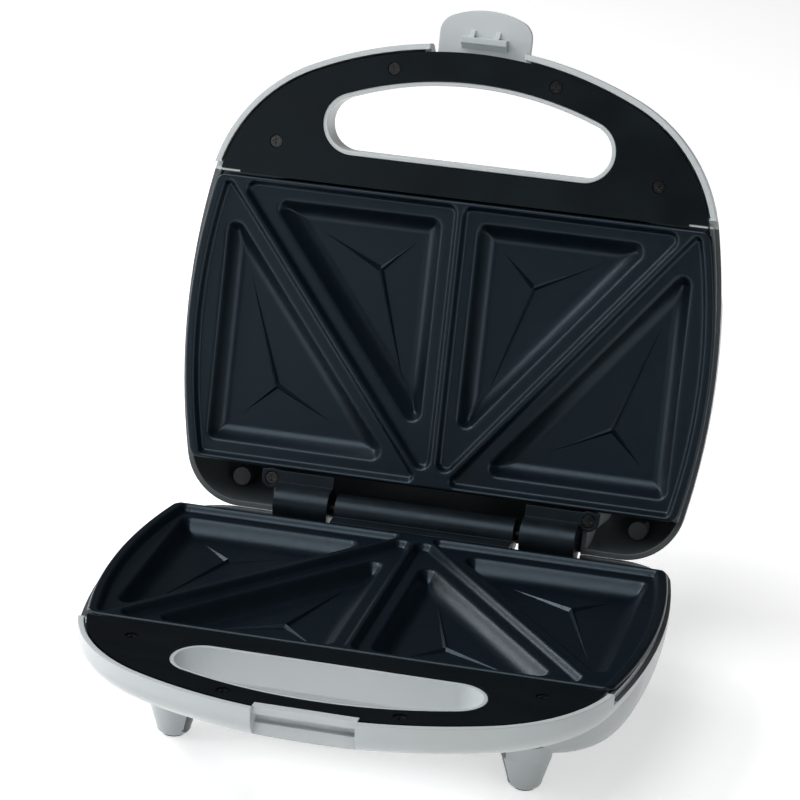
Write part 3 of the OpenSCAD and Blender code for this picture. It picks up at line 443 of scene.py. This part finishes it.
class PlateRelief:
    """Height of a cooking plate's face over its outline, from the plate's sizes."""

    def __init__(self, sizes):
        self.s = sizes
        self.middle = -sizes.depth / 2
        self.bow_x = sizes.width / 2 - sizes.bow_radius
        self.along = (RIDGE_FRONT - RIDGE_REAR).normalized()

    def ridge_x(self, y, shift):
        """x at the given y on the line beside the ridge, shifted outwards."""
        return RIDGE_REAR.x + (y - RIDGE_REAR.y) * self.along.x / self.along.y - shift / self.along.y

    def ridge_y(self, x, shift):
        """y at the given x on the same line."""
        return RIDGE_REAR.y + (x - RIDGE_REAR.x) * self.along.y / self.along.x + shift / self.along.x

    def half_width(self, y):
        """Half the plate's width at y, with its rounded corners."""
        s = self.s
        width = self.bow_x + np.sqrt(s.bow_radius**2 - (y - self.middle) ** 2)
        into = np.clip(np.abs(y - self.middle) - (s.depth / 2 - s.corner_radius), 0, s.corner_radius)
        return width - (s.corner_radius - np.sqrt(s.corner_radius**2 - into**2))

    def lands(self):
        """The outer and inner lands of the right-hand half, as convex outlines."""
        s = self.s
        rear = -s.end_rim
        front = s.end_rim - s.depth
        radius = s.bow_radius - s.side_rim

        def on_side(y):
            return Vector((self.bow_x + math.sqrt(radius**2 - (y - self.middle) ** 2), y))

        # a few rounds settle on where the line beside the ridge meets the bowed side
        tip = front
        for _ in range(6):
            tip = self.ridge_y(on_side(tip).x, s.ridge_half)
        steps = 26
        side = [on_side(tip + (rear - tip) * k / steps) for k in range(steps + 1)]
        outer = [Vector((self.ridge_x(rear, s.ridge_half), rear))] + side
        inner = [
            Vector((s.ridge_half, self.ridge_y(s.ridge_half, -s.ridge_half))),
            Vector((s.ridge_half, front)),
            Vector((self.ridge_x(front, -s.ridge_half), front)),
        ]
        return outer, inner

    def pockets(self):
        """The outer and inner pockets of the right-hand half."""
        s = self.s
        front = s.front_margin - s.depth
        outer = [
            Vector((s.side_margin, -s.rear_margin)),
            Vector((self.ridge_x(-s.rear_margin, s.ridge_land), -s.rear_margin)),
            Vector((s.side_margin, self.ridge_y(s.side_margin, s.ridge_land))),
        ]
        inner = [
            Vector((s.divider_margin, self.ridge_y(s.divider_margin, -s.ridge_land))),
            Vector((s.divider_margin, front)),
            Vector((self.ridge_x(front, -s.ridge_land), front)),
        ]
        return outer, inner

    def height(self, x, y):
        """Height of the plate's face, in millimetres from the parting plane."""
        s = self.s
        u = np.abs(x)
        top = -s.rim_top
        land = np.full(u.shape, -np.inf)
        for outline, rounding in zip(self.lands(), (s.land_tip, s.land_corner)):
            land = np.maximum(land, depth_inside(u, y, outline, rounding))
        z = top - (s.land_depth - s.rim_top) * eased((land + SLOPE_OUTSIDE) / LAND_SLOPE)
        # pockets: a short round on to the land, a steep wall and a long hollow on to the floor
        drop = s.pocket_depth - s.land_depth
        for outline in self.pockets():
            inside = depth_inside(u, y, outline, s.pocket_corner)
            soft = LIP_SOFTNESS * np.logaddexp(0, inside / LIP_SOFTNESS)
            z = z - drop * (1 - np.clip(1 - soft / s.pocket_wall, 0, 1) ** WALL_CURVE)
        # rounded outer edge of the rim
        edge = np.minimum(self.half_width(y) - u, s.depth / 2 - np.abs(y - self.middle))
        over = np.clip(s.rim_round - edge, 0, s.rim_round)
        return z - (s.rim_round - np.sqrt(s.rim_round**2 - over**2))


def turn(point):
    """Direction of a point seen from the middle, in radians from +x."""
    return math.atan2(point.y, point.x)


def crease(mesh, level, points, side, sizes):
    """A three-armed ridge on a pocket's floor: a peak over the junction and a notch between each two tips."""
    foot = -sizes.pocket_depth - CREASE_SINK
    peak = sizes.crease_height - sizes.pocket_depth
    junction = Vector(points[0])
    arms = sorted((Vector(end) - junction for end in points[1:]), key=turn)
    star = []
    for arm, following in zip(arms, arms[1:] + arms[:1]):
        notch = (arm.normalized() + following.normalized()).normalized()
        star += [arm, sizes.crease_root * notch]
    star.sort(key=turn)
    cone = bmesh.ops.create_cone(
        mesh, cap_ends=True, segments=len(star), radius1=1.0, radius2=0.0, depth=2.0
    )["verts"]
    ring = sorted((vert for vert in cone if vert.co.z < 0), key=lambda vert: turn(vert.co))
    for vert in cone:
        if vert.co.z > 0:
            vert.co = (side * junction.x, junction.y, peak)
            vert[level] = peak
    for vert, arm in zip(ring, star):
        point = junction + arm
        vert.co = (side * point.x, point.y, foot)
        vert[level] = foot


def cooking_plate(name, half, sizes):
    """One cast plate: a fine grid shaped by the relief, with its stepped edge and a flat back."""
    relief = PlateRelief(sizes)
    mesh = bmesh.new()
    across = round(sizes.width / sizes.cell)
    deep = round(sizes.depth / sizes.cell)
    bmesh.ops.create_grid(mesh, x_segments=across, y_segments=deep, size=1.0)
    spot = np.array([vert.co[:] for vert in mesh.verts])
    y = relief.middle + spot[:, 1] * sizes.depth / 2
    x = spot[:, 0] * relief.half_width(y)
    z = relief.height(x, y)
    level = mesh.verts.layers.float.new("relief")
    for vert, point in zip(mesh.verts, np.stack([x, y, z], axis=1)):
        vert.co = point
        vert[level] = point[2]
    for face in mesh.faces:
        face.smooth = True
    # the edge steps down and in: the rim's outside, its underside and the block that carries the pockets
    rim = [edge for edge in mesh.edges if edge.is_boundary]
    for inset, height in EDGE_STEPS:
        grown = bmesh.ops.extrude_edge_only(mesh, edges=rim)["geom"]
        rim = [item for item in grown if isinstance(item, bmesh.types.BMEdge)]
        loop = [item for item in grown if isinstance(item, bmesh.types.BMVert)]
        for vert in loop:
            vert.co.z = height
            vert[level] = height
        step_in(loop, inset, relief, sizes)
    bmesh.ops.edgeloop_fill(mesh, edges=rim)
    for points in (OUTER_CREASE, INNER_CREASE):
        for side in (-1, 1):
            crease(mesh, level, points, side, sizes)
    mesh.transform(half_place(half))
    bmesh.ops.recalc_face_normals(mesh, faces=mesh.faces[:])
    return finished_piece(mesh, name)


def step_in(verts, inset, relief, sizes):
    """Moves an edge loop of the plate to the given distance inside the plate's outline."""
    slack = 1e-4
    reach = sizes.depth / 2
    for vert in verts:
        width = float(relief.half_width(np.array(vert.co.y)))
        from_middle = vert.co.y - relief.middle
        outline_x = vert.co.x
        if abs(abs(from_middle) - reach) < inset + slack or abs(abs(outline_x) - width) < inset + slack:
            vert.co.x = math.copysign(min(abs(outline_x), width - inset), outline_x)
            vert.co.y = relief.middle + math.copysign(min(abs(from_middle), reach - inset), from_middle)


def finished_piece(mesh, name):
    """Turns a bmesh into an object at the origin."""
    data = bpy.data.meshes.new(name)
    mesh.to_mesh(data)
    mesh.free()
    piece = bpy.data.objects.new(name, data)
    bpy.context.scene.collection.objects.link(piece)
    return piece


# ---------------------------------------------------------------- operators


class TOASTER_OT_cooking_plates(bpy.types.Operator):
    """Model both cooking plates and coat them"""

    bl_idname = "toaster.cooking_plates"
    bl_label = "Cooking Plates"

    def execute(self, context):
        sizes = context.scene.toaster_plates
        coating = nonstick_coating("nonstick_coating", context.scene.toaster_colours)
        for half in ("base", "lid"):
            plate = cooking_plate(f"cooking_plate_{half}", half, sizes)
            plate.data.materials.append(coating)
            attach(plate, half)
            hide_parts(f"{half}_plate")
        return {"FINISHED"}


class TOASTER_OT_casing(bpy.types.Operator):
    """Finish both casing halves, the latch and the handle covers"""

    bl_idname = "toaster.casing"
    bl_label = "Casing and Handle Covers"

    def execute(self, context):
        tones = context.scene.toaster_colours
        for half in ("base", "lid"):
            wear(moulded_casing(f"casing_plastic_{half}", tones, half), f"{half}_shell")
        wear(moulded_casing("latch_plastic", tones), "latch")
        wear(satin_cover("cover_plastic", tones), "base_handle_cover", "lid_handle_cover")
        return {"FINISHED"}


class TOASTER_OT_hinge(bpy.types.Operator):
    """Finish the hinge and its pins"""

    bl_idname = "toaster.hinge"
    bl_label = "Hinge"

    def execute(self, context):
        tones = context.scene.toaster_colours
        coating = hinge_coating("hinge_coating", tones)
        wear(coating, "base_hinge_bracket", "lid_hinge_left", "lid_hinge_right")
        pin_steel = worked_metal("pin_black_steel", shade(tones.dark_steel, 0.1), 0.5, 0.6)
        wear(pin_steel, "hinge_pin", "latch_pin")
        return {"FINISHED"}


class TOASTER_OT_fasteners(bpy.types.Operator):
    """Finish every screw"""

    bl_idname = "toaster.fasteners"
    bl_label = "Screws"

    def execute(self, context):
        tones = context.scene.toaster_colours
        dark = worked_metal("screw_black_steel", shade(tones.dark_steel, 0.3), 0.22, 0.5)
        bright = worked_metal("screw_plated_steel", tones.steel, 0.3, 0.5)
        wear(dark, "base_cover_screws", "lid_cover_screws", "lid_hinge_screws")
        wear(bright, "base_hinge_screws", "base_plate_screws", "lid_plate_screws")
        return {"FINISHED"}


class TOASTER_OT_inner_parts(bpy.types.Operator):
    """Finish the heating, wiring, lamps, feet and gland"""

    bl_idname = "toaster.inner_parts"
    bl_label = "Heating, Wiring and Feet"

    def execute(self, context):
        tones = context.scene.toaster_colours
        wear(worked_metal("heater_sheath", shade(tones.steel, 0.7), 0.45, 1.4), "base_heater", "lid_heater")
        wear(worked_metal("reflector_sheet", tones.aluminium, 0.3, 0.8), "base_reflector", "lid_reflector")
        wear(worked_metal("fuse_can", tones.aluminium, 0.35, 0.5), "thermal_fuse")
        wear(worked_metal("thermostat_brass", tones.brass, 0.3, 0.7), "thermostat")
        wear(plain_moulding("cream_insulator", tones.insulator, 0.5), "terminal_block", "lamp_holder")
        wear(plain_moulding("lead_sleeve", tones.wire, 0.55), "base_wiring", "lid_wiring")
        wear(plain_moulding("pad_rubber", tones.rubber, 0.8), "foot_pads")
        wear(plain_moulding("gland_plastic", tones.rubber, 0.5), "cord_gland")
        wear(lamp_lens("red_lens", tones.red), "power_lens")
        wear(lamp_lens("green_lens", tones.green), "ready_lens")
        return {"FINISHED"}


class TOASTER_OT_stage(bpy.types.Operator):
    """Add the floor, the lights and the camera"""

    bl_idname = "toaster.stage"
    bl_label = "Stage, Lights and Camera"

    def execute(self, context):
        scene = context.scene
        scene.view_settings.view_transform = "Standard"
        floor_disc(scene.toaster_colours.floor)
        studio_world(scene)
        soft_lamp("overhead_light", (-0.35, -0.8, 1.6), (0, 0, 0.1), 1.1, 14)
        soft_lamp("left_overhead_light", (-1.1, -0.15, 1.3), (0, 0, 0.1), 0.5, 11)
        soft_lamp("left_light", (-1.7, -0.5, 0.55), (0, 0, 0.1), 0.8, 7.5)
        soft_lamp("left_rear_light", (-1.4, 0.85, 0.65), (0, 0, 0.1), 0.6, 9)
        soft_lamp("left_front_light", (-0.62, -1.4, 0.45), (0, 0, 0.2), 0.4, 0.8)
        soft_lamp("right_light", (1.3, -1.5, 0.45), (0, 0, 0.05), 0.8, 6)
        scene.camera = three_quarter_camera(scene)
        return {"FINISHED"}


def floor_disc(tone):
    """A wide pale floor that takes the toaster's shadow and shows white to the camera and in reflections."""
    mesh = bmesh.new()
    bmesh.ops.create_circle(mesh, cap_ends=True, segments=96, radius=FLOOR_RADIUS)
    floor = finished_piece(mesh, "floor")
    finish = Finish("floor_card", roughness=0.9, specular=0.0)
    finish.tint(finish.mix(finish.ramp(finish.noise(300, 2), 0.3, 0.7), shade(tone, 0.995), tone))
    path = finish.nodes.new("ShaderNodeLightPath")
    seen = finish.math("MAXIMUM", path.outputs["Is Camera Ray"], path.outputs["Is Glossy Ray"])
    seen = finish.math("MAXIMUM", seen, path.outputs["Is Transmission Ray"])
    lift = finish.math("MULTIPLY", seen, FLOOR_LIFT)
    finish.links.new(lift, finish.shader.inputs["Emission Strength"])
    finish.shader.inputs["Emission Color"].default_value = (1, 1, 1, 1)
    floor.data.materials.append(finish.done())


def studio_world(scene):
    """A dim and even white surround."""
    world = bpy.data.worlds.new("studio")
    world.use_nodes = True
    surround = world.node_tree.nodes["Background"]
    surround.inputs["Color"].default_value = (1, 1, 1, 1)
    surround.inputs["Strength"].default_value = SURROUND_STRENGTH
    scene.world = world


def soft_lamp(name, spot, target, size, power):
    """A square softbox aimed at a target."""
    light = bpy.data.lights.new(name, "AREA")
    light.size = size
    light.energy = power
    lamp = bpy.data.objects.new(name, light)
    aim = Vector(target) - Vector(spot)
    lamp.matrix_world = Matrix.Translation(spot) @ aim.to_track_quat("-Z", "Y").to_matrix().to_4x4()
    bpy.context.scene.collection.objects.link(lamp)


def three_quarter_camera(scene):
    """Looks down on the open toaster from the front right."""
    yaw, pitch, roll = (math.radians(angle) for angle in CAMERA_TURN)
    ahead = Vector((-math.sin(yaw) * math.cos(pitch), math.cos(yaw) * math.cos(pitch), math.sin(pitch)))
    right = Vector((math.cos(yaw), math.sin(yaw), 0))
    up = right.cross(ahead)
    rolled_right = right * math.cos(roll) + up * math.sin(roll)
    rolled_up = up * math.cos(roll) - right * math.sin(roll)
    lens = bpy.data.cameras.new("camera")
    lens.lens = LENS_LENGTH
    lens.sensor_width = SENSOR_WIDTH
    camera = bpy.data.objects.new("camera", lens)
    facing = Matrix((rolled_right, rolled_up, -ahead)).transposed().to_4x4()
    camera.matrix_world = Matrix.Translation(CAMERA_SPOT) @ facing
    scene.collection.objects.link(camera)
    return camera


# ---------------------------------------------------------------- panel and registering


class TOASTER_PT_sidebar(bpy.types.Panel):
    """The toaster's sizes, colours and pieces"""

    bl_idname = "TOASTER_PT_sidebar"
    bl_label = "Sandwich Toaster"
    bl_space_type = "VIEW_3D"
    bl_region_type = "UI"
    bl_category = "Toaster"

    def draw(self, context):
        for group in (context.scene.toaster_plates, context.scene.toaster_colours):
            box = self.layout.box()
            for name in group.__annotations__:
                box.prop(group, name)
        for operator in OPERATORS:
            self.layout.operator(operator.bl_idname)


OPERATORS = (
    TOASTER_OT_cooking_plates,
    TOASTER_OT_casing,
    TOASTER_OT_hinge,
    TOASTER_OT_fasteners,
    TOASTER_OT_inner_parts,
    TOASTER_OT_stage,
)
CLASSES = (ToasterPlateSizes, ToasterColours, *OPERATORS, TOASTER_PT_sidebar)


def register():
    for item in CLASSES:
        bpy.utils.register_class(item)
    bpy.types.Scene.toaster_plates = bpy.props.PointerProperty(type=ToasterPlateSizes)
    bpy.types.Scene.toaster_colours = bpy.props.PointerProperty(type=ToasterColours)


def unregister():
    del bpy.types.Scene.toaster_colours
    del bpy.types.Scene.toaster_plates
    for item in reversed(CLASSES):
        bpy.utils.unregister_class(item)


def main():
    register()
    bpy.ops.toaster.stage()
    bpy.ops.toaster.cooking_plates()
    bpy.ops.toaster.casing()
    bpy.ops.toaster.hinge()
    bpy.ops.toaster.fasteners()
    bpy.ops.toaster.inner_parts()


if __name__ == "__main__":
    main()
